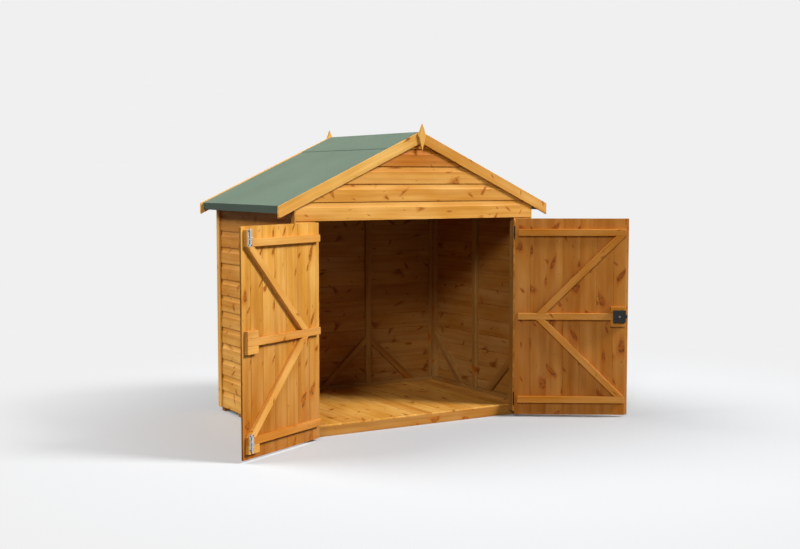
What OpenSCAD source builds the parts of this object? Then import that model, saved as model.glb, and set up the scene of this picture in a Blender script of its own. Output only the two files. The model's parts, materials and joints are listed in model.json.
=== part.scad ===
/* [Walls] */
// Width across the side cladding
wall_w = 1790; // [1500:10:2400]
// Depth between the front and back cladding faces
wall_d = 1236; // [1000:10:1800]
// Height of the gable boards between the doorway and the eaves
header_h = 130; // [110:5:250]
// Height of the cladding's lower edge above the ground
clad_lift = 30; // [15:1:50]
// Thickness of the cladding boards
clad_t = 12; // [10:1:18]
// Width of the corner strips
strip_w = 50; // [30:1:80]
// Thickness of the corner strips
strip_t = 12; // [8:1:20]

/* [Framing] */
// Narrow side of the framing timber
timber_a = 28; // [22:1:38]
// Wide side of the framing timber
timber_b = 45; // [40:1:60]
// Height of a wall brace's head above the ground
brace_z = 390; // [300:5:600]
// Horizontal run of a wall brace
brace_run = 310; // [250:5:330]

/* [Floor] */
// Height of the floor bearers
bearer_h = 63; // [45:1:90]
// Width of the floor bearers
bearer_w = 45; // [35:1:60]
// Number of floor bearers
bearer_n = 5; // [3:1:7]
// Thickness of the floor boards
deck_t = 12; // [10:1:22]

/* [Roof] */
// Pitch of the roof in degrees
roof_pitch = 24.9; // [18:0.1:32]
// Reach of the eaves past the side cladding
eave_out = 102; // [60:1:160]
// Thickness of the roof boards
sheath_t = 12; // [9:1:20]
// Thickness of the roof felt
felt_t = 3; // [2:0.5:4]
// Height of the upright face at the eaves
eave_drop = 45; // [38:1:60]
// Width of the ridge felt down each slope
ridge_felt_w = 258; // [150:1:350]
// Width of the purlins
purlin_w = 34; // [28:1:45]

/* [Barge boards] */
// Reach of the barge boards past the eaves
barge_out = 24; // [6:1:60]
// Width of the barge boards
barge_w = 68; // [55:1:110]
// Thickness of the barge boards
barge_t = 16; // [12:1:22]
// Height of the barge boards above the felt
barge_rise = 5; // [4:0.5:12]
// Width of the finials
finial_w = 58; // [40:1:90]
// Height of a finial above its widest place
finial_up = 75; // [50:1:110]
// Height of a finial below its widest place
finial_down = 105; // [70:1:140]
// Thickness of the finials
finial_t = 14; // [10:1:20]
// Height of the finial's tip above the barge boards
finial_tip = 50; // [20:1:70]

/* [Doorway] */
// Width of the wall panels beside the doorway
panel_w = 134; // [110:1:250]
// Height of the doorway's top edge above the ground
header_z = 1370; // [1200:5:1700]
// Height of the doors' lower edge above the ground
door_lift = 16; // [8:1:30]
// Angle to which the left door stands open
left_open = 153; // [0:1:170]
// Angle to which the right door stands open
right_open = 146.7; // [0:0.1:170]

/* [Doors] */
// Thickness of the door boards
leaf_t = 12; // [10:1:14]
// Height of the ledges
ledge_h = 45; // [40:1:70]
// Depth of the ledges, braces and blocks
ledge_d = 27; // [20:1:28]
// Distance of the top ledge's middle from the door's top
ledge_top = 95; // [80:1:140]
// Distance of the bottom ledge's middle from the door's foot
ledge_foot = 106; // [80:1:150]
// Width of the door braces
door_brace_w = 45; // [35:1:60]
// Height of the lock blocks
lock_block_h = 136; // [110:1:180]
// Width of the lock blocks
lock_block_w = 100; // [90:1:120]
// Width of the top bolt's block
bolt_block_w = 50; // [46:1:70]
// Width of the cover strip
cover_w = 45; // [35:1:60]
// Thickness of the cover strip
cover_t = 12; // [10:1:18]
// Reach of the cover strip past the door's edge
cover_lap = 20; // [12:1:28]

/* [Hinges] */
// Length of a hinge strap
strap_l = 300; // [200:5:400]
// Width of a hinge strap at its root
strap_root = 36; // [30:1:50]
// Width of a hinge strap at its tip
strap_tip = 18; // [12:1:28]
// Thickness of the hinge plates
strap_t = 3; // [2:0.5:4]
// Outer radius of the hinge knuckles
knuckle_r = 5.5; // [4.5:0.1:5.9]
// Radius of the hinge pins
pin_r = 3; // [2:0.1:3.5]
// Height of one hinge knuckle
knuckle_h = 30; // [20:1:40]
// Width of the plates on the jambs
jamb_plate_w = 36; // [25:1:60]

/* [Bolts and lock] */
// Length of a bolt's plate
bolt_plate_h = 96; // [90:1:120]
// Width of a bolt's plate
bolt_plate_w = 40; // [30:1:44]
// Thickness of a bolt's plate
bolt_plate_t = 2; // [1:0.5:3]
// Radius of a bolt's shoot
shoot_r = 4.5; // [3:0.1:5]
// Height of a bolt's guide
guide_h = 8; // [5:1:12]
// Thickness of a guide's wall
guide_t = 2.5; // [2:0.1:4]
// Throw of the bolts
bolt_throw = 30; // [15:1:32]
// Width and height of the lock's case
lock_size = 84; // [70:1:90]
// Depth of the lock's case
lock_d = 22; // [18:1:26]
// Width of the lock's tongue
tongue_h = 22; // [14:1:30]
// Thickness of the lock's tongue
tongue_t = 12; // [8:1:14]
// Reach of the lock's tongue out of its case
tongue_out = 13; // [8:1:16]
// Radius of the lock's cylinder
cylinder_r = 9; // [6:1:12]

/* [Hidden] */
// Clearances and small sizes
jamb_gap = 3;
leaf_gap = 3;
meeting_gap = 6;
header_gap = 7;
pivot_out = 6;
knuckle_gap = 0.5;
pin_play = 0.05;
shoot_play = 0.3;
tongue_play = 0.5;
cover_play = 5;
seat_play = 0.1;
shoot_gap = 1;
plate_margin = 3;
lip = 1.5;
ledge_inset = 19;
ledge_edge = 3;
block_edge = 22;
block_foot = 50;
bolt_foot = 68;
shoot_nose = 12;
knob_r = 4;
knob_l = 14;
tongue_in = 30;
boss_l = 4;
case_bevel = 3;
brace_heel = 180;
brace_toe = 37;
overrun = 1;
fine = 48;

// Front and back faces, from the middle of the floor
frame_t = clad_t + timber_a;
post_t = clad_t + timber_b;
floor_d = wall_d - clad_t - post_t;
y_front = -floor_d / 2 - post_t;
y_back = y_front + wall_d;
y_floor = y_front + post_t;
x_clad = wall_w / 2;
x_frame = x_clad - clad_t;
x_inner = x_clad - frame_t;
deck_z = bearer_h + deck_t;
x_jamb = x_clad - panel_w;
pivot_x = x_jamb - jamb_gap;
stud_x = x_frame / 3;
rail_z = deck_z + timber_a;

// Roof planes
side_h = header_z + header_h;
eave_half = x_clad + eave_out;
barge_half = eave_half + barge_out;
purlin_x = (x_clad - purlin_w) / 2;
slope = tan(roof_pitch);
lean = cos(roof_pitch);
function under_z(x) = side_h + (x_clad - abs(x)) * slope;
sheath_v = sheath_t / lean;
felt_v = felt_t / lean;
rafter_v = timber_b / lean;
barge_v = barge_w / lean;
felt_z = sheath_v + felt_v;
barge_top = felt_z + barge_rise / lean;
ridge_x = ridge_felt_w * lean;
eave_bottom = under_z(eave_half) + sheath_v - eave_drop;
eave_batten = timber_a;
finial_z = under_z(0) + barge_top + finial_tip;

// Door leaves, measured from the hinge axis
leaf_w = pivot_x - leaf_gap - meeting_gap / 2;
leaf_end = leaf_gap + leaf_w;
leaf_top = header_z - header_gap;
leaf_in = pivot_out + leaf_t;
ledge_in = leaf_in + ledge_d;
top_z = leaf_top - ledge_top;
foot_z = door_lift + ledge_foot;
mid_z = (top_z + foot_z) / 2;
half_ledge = ledge_h / 2;
ledge_start = leaf_gap + ledge_inset;
block_end = leaf_end - block_edge;
lock_end = leaf_end - ledge_edge;
bolt_u = block_end - bolt_block_w / 2;
plate_in = ledge_in + bolt_plate_t;
shoot_v = plate_in + shoot_gap + shoot_r;
knob_span = bolt_throw + knob_r + knob_r + shoot_gap + shoot_gap;
guide_top = bolt_plate_h - lip - guide_h;
guide_foot = guide_top - knob_span - guide_h;
shoot_tail = guide_foot + guide_h / 2 - bolt_throw;
top_bolt_z = top_z - half_ledge + lip;
top_block_h = bolt_plate_h + lip + lip;
hinge_zs = [foot_z, top_z];
lock_z = mid_z + plate_margin;

wood = "#dba050";
pale_wood = "#e6b45a";
shade_wood = "#a87032";
felt_green = "#86a090";
zinc = "#bcb8ae";
black = "#1c1c1e";

// A block from one corner to the opposite one
module block(low, high) {
    translate(low)
        cube(high - low);
}

// An outline in X and Z, run along Y from one place to another
module run_y(points, from, to) {
    translate([0, to, 0])
        rotate([90, 0, 0])
            linear_extrude(height = to - from)
                polygon(points);
}

// An outline in Y and Z, run along X from one place to another
module run_x(points, from, to) {
    translate([from, 0, 0])
        rotate([90, 0, 90])
            linear_extrude(height = to - from)
                polygon(points);
}

// The same shape on the left and on the right
module both_sides() {
    children();
    mirror([1, 0, 0])
        children();
}

// Places the left door's pieces, drawn from the hinge axis with the door shut
module on_left_door() {
    translate([-pivot_x, y_front - pivot_out, 0])
        rotate([0, 0, -left_open])
            children();
}

// Places the right door's pieces, drawn as a left door
module on_right_door() {
    translate([pivot_x, y_front - pivot_out, 0])
        rotate([0, 0, right_open])
            mirror([1, 0, 0])
                children();
}

// Parallelogram of a brace, from its head on a post down to its foot on a rail
function brace_points(post, run, head_z, foot_level) =
    let (rise = head_z - foot_level,
         wide = timber_b * norm([run, rise]) / rise,
         tall = timber_b * norm([run, rise]) / abs(run),
         way = sign(run))
    [[post, head_z], [post + run, foot_level], [post + run + way * wide, foot_level],
     [post, head_z + tall]];

module floor_bearers() {
    pitch_y = (floor_d - bearer_w) / (bearer_n - 1);
    color(shade_wood)
        for (i = [0 : bearer_n - 1])
            block([-x_frame, y_floor + i * pitch_y, 0],
                  [x_frame, y_floor + i * pitch_y + bearer_w, bearer_h]);
}

module floor_deck() {
    color(wood)
        block([-x_frame, y_floor, bearer_h], [x_frame, y_back - clad_t, deck_z]);
}

module side_wall() {
    color(wood)
        block([-x_clad, y_front + clad_t, clad_lift], [-x_frame, y_back - clad_t, side_h]);
}

module left_wall() {
    side_wall();
}

module right_wall() {
    mirror([1, 0, 0])
        side_wall();
}

// Gable outline above a given level
function gable_points(low) =
    [[-x_clad, low], [x_clad, low], [x_clad, side_h - seat_play],
     [0, under_z(0) - seat_play], [-x_clad, side_h - seat_play]];

module back_wall() {
    color(wood)
        run_y(gable_points(clad_lift), y_back - clad_t, y_back);
}

module front_gable() {
    color(wood)
        run_y(gable_points(header_z), y_front, y_front + clad_t);
}

module front_panels() {
    color(wood)
        both_sides()
            block([x_jamb, y_front, clad_lift], [x_clad, y_front + clad_t, header_z]);
}

// Foot places of the side walls' studs along Y
side_stud_ys = [y_floor, (y_floor + y_back - frame_t - timber_b) / 2, y_back - frame_t - timber_b];

module side_wall_studs() {
    color(wood)
        both_sides()
            for (y = side_stud_ys)
                block([x_inner, y, rail_z], [x_frame, y + timber_b, side_h - timber_b]);
}

module side_wall_rails() {
    color(wood)
        both_sides()
            for (z = [[deck_z, rail_z], [side_h - timber_b, side_h]])
                block([x_inner, y_floor, z[0]], [x_frame, y_back - frame_t, z[1]]);
}

module side_wall_braces() {
    color(wood)
        both_sides() {
            run_x(brace_points(y_floor + timber_b, brace_run, brace_z, rail_z), x_inner, x_frame);
            run_x(brace_points(y_back - frame_t - timber_b, -brace_run, brace_z, rail_z),
                  x_inner, x_frame);
        }
}

// A back stud that reaches up to the rafter over its outer edge
module back_stud(x_low, x_high) {
    block([x_low, y_back - frame_t, rail_z],
          [x_high, y_back - clad_t, under_z(x_high) - rafter_v]);
}

module back_wall_studs() {
    color(wood)
        both_sides() {
            back_stud(x_frame - timber_b, x_frame);
            back_stud(stud_x - timber_b / 2, stud_x + timber_b / 2);
        }
}

module back_wall_rail() {
    color(wood)
        block([-x_frame, y_back - frame_t, deck_z], [x_frame, y_back - clad_t, rail_z]);
}

module back_wall_braces() {
    outer = stud_x + timber_b / 2;
    inner = stud_x - timber_b / 2;
    color(wood)
        for (pair = [[inner, -brace_run], [outer, brace_run], [-outer, -brace_run]])
            run_y(brace_points(pair[0], pair[1], brace_z, rail_z),
                  y_back - frame_t, y_back - clad_t);
}

module front_posts() {
    color(wood)
        both_sides() {
            block([x_jamb, y_front + clad_t, clad_lift], [x_jamb + timber_a, y_floor, header_z]);
            block([x_inner, y_front + clad_t, clad_lift],
                  [x_frame, y_floor, under_z(x_frame) - rafter_v]);
        }
}

module header_rail() {
    color(wood)
        block([-x_inner, y_front + clad_t, header_z],
              [x_inner, y_front + frame_t, header_z + timber_b]);
}

// Sloping outline under or over the roof boards, from x_from out to x_to
function slope_points(x_from, x_to, low, high) =
    [[x_from, under_z(x_from) + low], [x_to, under_z(x_to) + low],
     [x_to, under_z(x_to) + high], [x_from, under_z(x_from) + high]];

module rafters() {
    points = slope_points(0, x_frame, -rafter_v, -seat_play);
    color(wood) {
        run_y(points, y_front + clad_t, y_front + frame_t);
        run_y(points, y_back - frame_t, y_back - clad_t);
    }
}

module left_rafters() {
    mirror([1, 0, 0])
        rafters();
}

module right_rafters() {
    rafters();
}

module purlins() {
    color(wood) {
        run_y(slope_points(0, purlin_w, -rafter_v, -seat_play),
              y_front + frame_t, y_back - frame_t);
        run_y(slope_points(purlin_x, purlin_x + purlin_w, -rafter_v, -seat_play),
              y_front + frame_t, y_back - frame_t);
        run_y([[eave_half - eave_batten, eave_bottom], [eave_half, eave_bottom],
               [eave_half, under_z(eave_half) - seat_play],
               [eave_half - eave_batten, under_z(eave_half - eave_batten) - seat_play]],
              y_front, y_back);
    }
}

module left_purlins() {
    mirror([1, 0, 0])
        purlins();
}

module right_purlins() {
    purlins();
}

module roof_boards() {
    color(shade_wood)
        run_y(slope_points(0, eave_half, 0, sheath_v), y_front, y_back);
}

module left_roof_boards() {
    mirror([1, 0, 0])
        roof_boards();
}

module right_roof_boards() {
    roof_boards();
}

// Felt over one slope, folded down over the upright face at the eaves
module roof_felt() {
    edge = eave_half + felt_t;
    color(felt_green)
        run_y([[0, under_z(0) + sheath_v], [eave_half, under_z(eave_half) + sheath_v],
               [eave_half, eave_bottom], [edge, eave_bottom],
               [edge, under_z(edge) + felt_z], [0, under_z(0) + felt_z]], y_front, y_back);
}

module left_roof_felt() {
    mirror([1, 0, 0])
        roof_felt();
}

module right_roof_felt() {
    roof_felt();
}

module ridge_felt() {
    low = felt_z;
    high = felt_z + felt_v;
    color(felt_green)
        run_y([[-ridge_x, under_z(ridge_x) + low], [0, under_z(0) + low],
               [ridge_x, under_z(ridge_x) + low], [ridge_x, under_z(ridge_x) + high],
               [0, under_z(0) + high], [-ridge_x, under_z(ridge_x) + high]], y_front, y_back);
}

module barge_boards() {
    points = slope_points(0, barge_half, barge_top - barge_v, barge_top);
    color(pale_wood) {
        run_y(points, y_front - barge_t, y_front);
        run_y(points, y_back, y_back + barge_t);
    }
}

module left_barge_boards() {
    mirror([1, 0, 0])
        barge_boards();
}

module right_barge_boards() {
    barge_boards();
}

module finials() {
    widest = finial_z - finial_up;
    points = [[0, finial_z], [finial_w / 2, widest], [0, widest - finial_down], [-finial_w / 2, widest]];
    color(pale_wood) {
        run_y(points, y_front - barge_t - finial_t, y_front - barge_t);
        run_y(points, y_back + barge_t, y_back + barge_t + finial_t);
    }
}

module corner_strips() {
    color(pale_wood)
        both_sides()
            for (y = [y_front, y_back - strip_w])
                block([x_clad, y, clad_lift],
                      [x_clad + strip_t, y + strip_w, under_z(x_clad + strip_t)]);
}

// One hinge plate with its two outer knuckles and pin, on the left jamb
module jamb_hinge(z) {
    half = knuckle_h / 2;
    reach = half + knuckle_h;
    difference() {
        union() {
            block([-jamb_plate_w, pivot_out - strap_t, z - reach], [0, pivot_out, z + reach]);
            for (s = [z - reach, z + half])
                translate([0, 0, s])
                    cylinder(r = knuckle_r, h = knuckle_h, $fn = fine);
        }
        block([-knuckle_r - overrun, -knuckle_r - overrun, z - half],
              [knuckle_r + overrun, pivot_out + overrun, z + half]);
    }
    translate([0, 0, z - reach])
        cylinder(r = pin_r, h = reach + reach, $fn = fine);
}

module jamb_hinges() {
    color(black)
        both_sides()
            translate([-pivot_x, y_front - pivot_out, 0])
                for (z = hinge_zs)
                    jamb_hinge(z);
}

// Tapered straps with their middle knuckles, on a door's outer face
module door_hinges() {
    half = knuckle_h / 2 - knuckle_gap;
    color(black)
        for (z = hinge_zs)
            difference() {
                union() {
                    translate([0, 0, z - half])
                        cylinder(r = knuckle_r, h = half + half, $fn = fine);
                    translate([0, pivot_out, z])
                        rotate([90, 0, 0])
                            linear_extrude(height = strap_t)
                                polygon([[0, -half], [knuckle_r + overrun, -half],
                                         [strap_root, -strap_root / 2],
                                         [strap_l - strap_tip, -strap_tip / 2], [strap_l, 0],
                                         [strap_l - strap_tip, strap_tip / 2],
                                         [strap_root, strap_root / 2],
                                         [knuckle_r + overrun, half], [0, half]]);
                }
                translate([0, 0, z - knuckle_h])
                    cylinder(r = pin_r + pin_play, h = knuckle_h + knuckle_h, $fn = fine);
            }
}

module left_door_hinges() {
    on_left_door()
        door_hinges();
}

module right_door_hinges() {
    on_right_door()
        door_hinges();
}

module door_boards() {
    color(wood)
        block([leaf_gap, pivot_out, door_lift], [leaf_end, leaf_in, leaf_top]);
}

module left_door_boards() {
    on_left_door()
        door_boards();
}

module right_door_boards() {
    on_right_door()
        door_boards();
}

// One ledge across the inner face, from the hinge side to a given end
module ledge(z, end) {
    block([ledge_start, leaf_in, z - half_ledge], [end, ledge_in, z + half_ledge]);
}

module left_door_ledges() {
    color(pale_wood)
        on_left_door() {
            ledge(top_z, block_end - bolt_block_w);
            ledge(mid_z, block_end);
            ledge(foot_z, block_end);
        }
}

module right_door_ledges() {
    color(pale_wood)
        on_right_door() {
            ledge(top_z, lock_end);
            ledge(mid_z, lock_end);
            ledge(foot_z, lock_end);
        }
}

// One door brace with level ends, between two heights
module door_brace(heel, toe, z_heel, z_toe) {
    run = toe - heel;
    rise = z_toe - z_heel;
    half = door_brace_w * norm([run, rise]) / abs(rise) / 2;
    translate([0, ledge_in, 0])
        rotate([90, 0, 0])
            linear_extrude(height = ledge_d)
                polygon([[heel - half, z_heel], [heel + half, z_heel],
                         [toe + half, z_toe], [toe - half, z_toe]]);
}

module door_braces(toe) {
    door_brace(brace_heel, toe, mid_z + half_ledge, top_z - half_ledge);
    door_brace(brace_heel, toe, mid_z - half_ledge, foot_z + half_ledge);
}

module left_door_braces() {
    color(pale_wood)
        on_left_door()
            door_braces(block_end - brace_toe);
}

module right_door_braces() {
    color(pale_wood)
        on_right_door()
            door_braces(lock_end - brace_toe);
}

// Short pieces above and below the middle ledge, that make its end as tall as a lock
module lock_pieces(end) {
    for (span = [[-lock_block_h / 2, -half_ledge], [half_ledge, lock_block_h / 2]])
        block([end - lock_block_w, leaf_in, mid_z + span[0]], [end, ledge_in, mid_z + span[1]]);
}

module left_door_blocks() {
    color(pale_wood)
        on_left_door() {
            block([block_end - bolt_block_w, leaf_in, top_z - half_ledge],
                  [block_end, ledge_in, top_z - half_ledge + top_block_h]);
            lock_pieces(block_end);
            block([block_end - lock_block_w, leaf_in, block_foot],
                  [block_end, ledge_in, foot_z - half_ledge]);
        }
}

module lock_block() {
    color(pale_wood)
        on_right_door()
            lock_pieces(lock_end);
}

// A bolt's back plate with its two round guides, standing on its lower end
module bolt_plate() {
    bore = shoot_r + shoot_play;
    outer = bore + guide_t;
    block([-bolt_plate_w / 2, ledge_in, 0], [bolt_plate_w / 2, plate_in, bolt_plate_h]);
    difference() {
        for (z = [guide_foot, guide_top])
            translate([0, 0, z])
                union() {
                    translate([0, shoot_v, 0])
                        cylinder(r = outer, h = guide_h, $fn = fine);
                    block([-outer, plate_in, 0], [outer, shoot_v, guide_h]);
                }
        translate([0, shoot_v, 0])
            cylinder(r = bore, h = bolt_plate_h, $fn = fine);
    }
}

// A bolt's round shoot with its knob, drawn back in its guides
module bolt_shoot() {
    knob_z = guide_foot + guide_h + knob_r + shoot_gap;
    translate([0, shoot_v, shoot_tail])
        cylinder(r = shoot_r, h = bolt_plate_h - shoot_tail + shoot_nose, $fn = fine);
    translate([0, shoot_v, knob_z])
        rotate([-90, 0, 0])
            cylinder(r = knob_r, h = knob_l, $fn = fine);
}

// Stands a bolt's piece upright on the top block
module at_top_bolt() {
    translate([bolt_u, 0, top_bolt_z])
        children();
}

// Hangs a bolt's piece upside down on the bottom block
module at_bottom_bolt() {
    translate([bolt_u, 0, bolt_foot + bolt_plate_h])
        mirror([0, 0, 1])
            children();
}

module bolt_plates() {
    color(zinc)
        on_left_door() {
            at_top_bolt()
                bolt_plate();
            at_bottom_bolt()
                bolt_plate();
        }
}

module top_bolt() {
    color(zinc)
        on_left_door()
            at_top_bolt()
                bolt_shoot();
}

module bottom_bolt() {
    color(zinc)
        on_left_door()
            at_bottom_bolt()
                bolt_shoot();
}

// Middle of the tongue inside the lock's case
tongue_v = ledge_in + lock_d / 2;

module lock_case() {
    half = lock_size / 2;
    slot_h = tongue_h / 2 + tongue_play;
    slot_t = tongue_t / 2 + tongue_play;
    low = [lock_end - lock_size, ledge_in, lock_z - half];
    color(black)
        on_right_door() {
            difference() {
                translate([lock_end, 0, 0])
                    rotate([0, -90, 0])
                        linear_extrude(height = lock_size)
                            polygon([[low[2], low[1]], [low[2] + lock_size, low[1]],
                                     [low[2] + lock_size, low[1] + lock_d - case_bevel],
                                     [low[2] + lock_size - case_bevel, low[1] + lock_d],
                                     [low[2] + case_bevel, low[1] + lock_d],
                                     [low[2], low[1] + lock_d - case_bevel]]);
                block([lock_end - tongue_in - tongue_out, tongue_v - slot_t, lock_z - slot_h],
                      [lock_end + overrun, tongue_v + slot_t, lock_z + slot_h]);
            }
            translate([lock_end - half, ledge_in + lock_d, lock_z])
                rotate([-90, 0, 0])
                    cylinder(r = cylinder_r, h = boss_l, $fn = fine);
        }
}

module lock_tongue() {
    color(black)
        on_right_door()
            block([lock_end - tongue_in, tongue_v - tongue_t / 2, lock_z - tongue_h / 2],
                  [lock_end + tongue_out, tongue_v + tongue_t / 2, lock_z + tongue_h / 2]);
}

// Strip on the outer face that closes the gap between the doors, rebated over the other door
module cover_strip() {
    back = pivot_out - cover_t;
    end = leaf_end + cover_lap;
    color(wood)
        on_right_door()
            translate([0, 0, door_lift])
                linear_extrude(height = leaf_top - door_lift)
                    polygon([[end - cover_w, back], [end, back], [end, pivot_out - cover_play],
                             [leaf_end, pivot_out - cover_play], [leaf_end, pivot_out],
                             [end - cover_w, pivot_out]]);
}

floor_bearers();
floor_deck();
left_wall();
right_wall();
back_wall();
front_gable();
front_panels();
side_wall_studs();
side_wall_rails();
side_wall_braces();
back_wall_studs();
back_wall_rail();
back_wall_braces();
front_posts();
header_rail();
left_rafters();
right_rafters();
left_purlins();
right_purlins();
left_roof_boards();
right_roof_boards();
left_roof_felt();
right_roof_felt();
ridge_felt();
left_barge_boards();
right_barge_boards();
finials();
corner_strips();
jamb_hinges();
left_door_boards();
left_door_ledges();
left_door_braces();
left_door_blocks();
left_door_hinges();
bolt_plates();
top_bolt();
bottom_bolt();
right_door_boards();
right_door_ledges();
right_door_braces();
lock_block();
lock_case();
lock_tongue();
cover_strip();
right_door_hinges();
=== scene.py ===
import json
import math
import random

import bpy
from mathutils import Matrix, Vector


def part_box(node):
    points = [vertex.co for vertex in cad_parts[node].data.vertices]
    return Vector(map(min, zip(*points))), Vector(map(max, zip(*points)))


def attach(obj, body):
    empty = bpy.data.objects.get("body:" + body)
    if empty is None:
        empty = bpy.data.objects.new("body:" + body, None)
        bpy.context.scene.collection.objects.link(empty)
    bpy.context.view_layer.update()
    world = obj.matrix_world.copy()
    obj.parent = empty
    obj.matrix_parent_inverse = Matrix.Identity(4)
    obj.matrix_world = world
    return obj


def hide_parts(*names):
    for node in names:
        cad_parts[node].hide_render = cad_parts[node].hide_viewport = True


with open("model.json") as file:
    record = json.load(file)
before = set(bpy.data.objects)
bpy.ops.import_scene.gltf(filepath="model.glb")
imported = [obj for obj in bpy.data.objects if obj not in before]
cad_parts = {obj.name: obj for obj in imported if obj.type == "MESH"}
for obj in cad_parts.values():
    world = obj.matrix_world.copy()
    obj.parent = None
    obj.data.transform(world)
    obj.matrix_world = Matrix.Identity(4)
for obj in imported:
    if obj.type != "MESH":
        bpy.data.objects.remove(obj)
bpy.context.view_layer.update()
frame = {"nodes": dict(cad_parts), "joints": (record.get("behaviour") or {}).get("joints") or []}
mm = 0.001
draw = random.Random(41)
xAxis, yAxis, zAxis = Vector((1, 0, 0)), Vector((0, 1, 0)), Vector((0, 0, 1))


# Modelling steps that every piece shares

joinery = {
    "ease": 2,          # mm off the edges of a planed timber
    "finialEase": 3,
    "weld": 0.01,       # mm, points of a solid that are this close are one
    "flat": 0.5,        # degrees, and so are faces this level with each other
    "askew": 0.8,       # cosine, an edge nearer to the grain than this doesn't run across it
    "smooth": 35,       # degrees, sharper edges stay crisp
}
boardMarks = {
    "shift": (60, 60, 2),   # m, furthest that a board's grain is moved along, across and through it
    "tones": (0.45, 1),     # 0 is the ruddiest and 1 the creamiest
    "facing": 0.5,          # cosine, faces turned this far to that side take the sawn colour, which on the doors is painted shade
}


def only(*pieces):
    bpy.ops.object.select_all(action="DESELECT")
    for piece in pieces:
        piece.select_set(True)
    bpy.context.view_layer.objects.active = pieces[0]


def settle(piece):
    only(piece)
    bpy.ops.object.transform_apply(location=True, rotation=True, scale=True)
    return piece


# Adds a primitive, lamp or camera with nothing else selected
def added(name, operator, **settings):
    bpy.ops.object.select_all(action="DESELECT")
    operator(**settings)
    piece = bpy.context.object
    piece.name = name
    return piece


def addBlock(name, low, high):
    centre = [(a + b) / 2 for a, b in zip(low, high)]
    piece = added(name, bpy.ops.mesh.primitive_cube_add, size=1, location=centre)
    piece.scale = [abs(b - a) for a, b in zip(low, high)]
    return settle(piece)


def edit(piece, kind="EDGE"):
    only(piece)
    bpy.ops.object.mode_set(mode="EDIT")
    bpy.ops.mesh.select_mode(type=kind)
    bpy.ops.mesh.select_all(action="SELECT")


def editDone():
    bpy.ops.object.mode_set(mode="OBJECT")


# Selects the faces, edges or vertices whose middle passes a test, and stays in edit mode
def pick(piece, kind, test):
    edit(piece, kind)
    bpy.ops.mesh.select_all(action="DESELECT")
    editDone()
    mesh = piece.data
    places = [v.co for v in mesh.vertices]
    items = {"FACE": mesh.polygons, "EDGE": mesh.edges, "VERT": mesh.vertices}[kind]
    for item in items:
        corners = [item.co] if kind == "VERT" else [places[i] for i in item.vertices]
        item.select = test(sum(corners, Vector()) / len(corners), corners)
    bpy.ops.object.mode_set(mode="EDIT")


def easeEdges(piece, width):
    edit(piece)
    bpy.ops.mesh.bevel(offset=width, segments=1, affect="EDGES")
    editDone()


def bevelEdges(piece, test, **settings):
    pick(piece, "EDGE", test)
    bpy.ops.mesh.bevel(affect="EDGES", **settings)
    editDone()


def movePoints(piece, test, way):
    pick(piece, "VERT", test)
    bpy.ops.transform.translate(value=way)
    editDone()


# Cuts away what lies on the side that the normal points to
def cutOff(piece, point, normal):
    edit(piece)
    bpy.ops.mesh.bisect(plane_co=point, plane_no=normal, use_fill=True, clear_outer=True)
    editDone()


# Adds a line of edges all round, with nothing cut away
def scoreRound(piece, point, normal):
    edit(piece)
    bpy.ops.mesh.bisect(plane_co=point, plane_no=normal)
    editDone()


def pullFaces(piece, test, way):
    pick(piece, "FACE", test)
    bpy.ops.mesh.extrude_region_move(TRANSFORM_OT_translate={"value": way})
    editDone()


def copyOf(master, name):
    piece = master.copy()
    piece.data = master.data.copy()
    piece.name = name
    bpy.context.scene.collection.objects.link(piece)
    return piece


def bury(*masters):
    only(*masters)
    bpy.ops.object.delete()


def joined(name, pieces):
    only(*pieces)
    if len(pieces) > 1:
        bpy.ops.object.join()
    pieces[0].name = name
    pieces[0].data.name = name
    return pieces[0]


# Stores what the pine reads: where each point lies along, across and through its own board, the board's
# tone from foot to top, and the faces that take the sawn colour, which on the doors is painted shade
def markGrain(piece, along, across, sawnAndShade=None, tone=None):
    mesh = piece.data
    along = along.normalized()
    across = (across - along * across.dot(along)).normalized()
    through = along.cross(across)
    shift = Vector([draw.uniform(0, most) for most in boardMarks["shift"]])
    grain = mesh.attributes.new("grain", "FLOAT_VECTOR", "POINT")
    values = []
    for vertex in mesh.vertices:
        values += [vertex.co.dot(way) + extra for way, extra in zip((along, across, through), shift)]
    grain.data.foreach_set("vector", values)
    usual = draw.uniform(*boardMarks["tones"])
    foot, top = tone or (usual, usual)
    heights = [vertex.co.z for vertex in mesh.vertices]
    low, high = min(heights), max(heights)
    tones = mesh.attributes.new("tone", "FLOAT", "POINT")
    tones.data.foreach_set("value", [foot + (top - foot) * (z - low) / (high - low) for z in heights])
    if sawnAndShade:
        faces = mesh.attributes.new("sawnAndShade", "FLOAT", "FACE")
        facing = [float(face.normal.dot(sawnAndShade) > boardMarks["facing"]) for face in mesh.polygons]
        faces.data.foreach_set("value", facing)
    return piece


# The same tone from foot to top, where a board has one set
def evenTone(tones, i):
    return (tones[i], tones[i]) if i < len(tones) else None


# Gives a finished piece its material and body and hides the nodes that it stands for. The slot is not used
def fit(piece, material, body, slot, *nodes):
    piece.data.materials.clear()
    piece.data.materials.append(material)
    only(piece)
    bpy.ops.object.shade_smooth_by_angle(angle=math.radians(joinery["smooth"]))
    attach(piece, body)
    if nodes:
        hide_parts(*nodes)


# Solids of a node as separate objects with merged points and whole flat faces
def solidsOf(node):
    piece = frame["nodes"][node].copy()
    piece.data = frame["nodes"][node].data.copy()
    piece.parent = None
    piece.name = node + "_copy"
    bpy.context.scene.collection.objects.link(piece)
    edit(piece)
    bpy.ops.mesh.remove_doubles(threshold=joinery["weld"] * mm)
    bpy.ops.mesh.dissolve_limited(angle_limit=math.radians(joinery["flat"]))
    bpy.ops.mesh.separate(type="LOOSE")
    editDone()
    return list(bpy.context.selected_objects)


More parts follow.
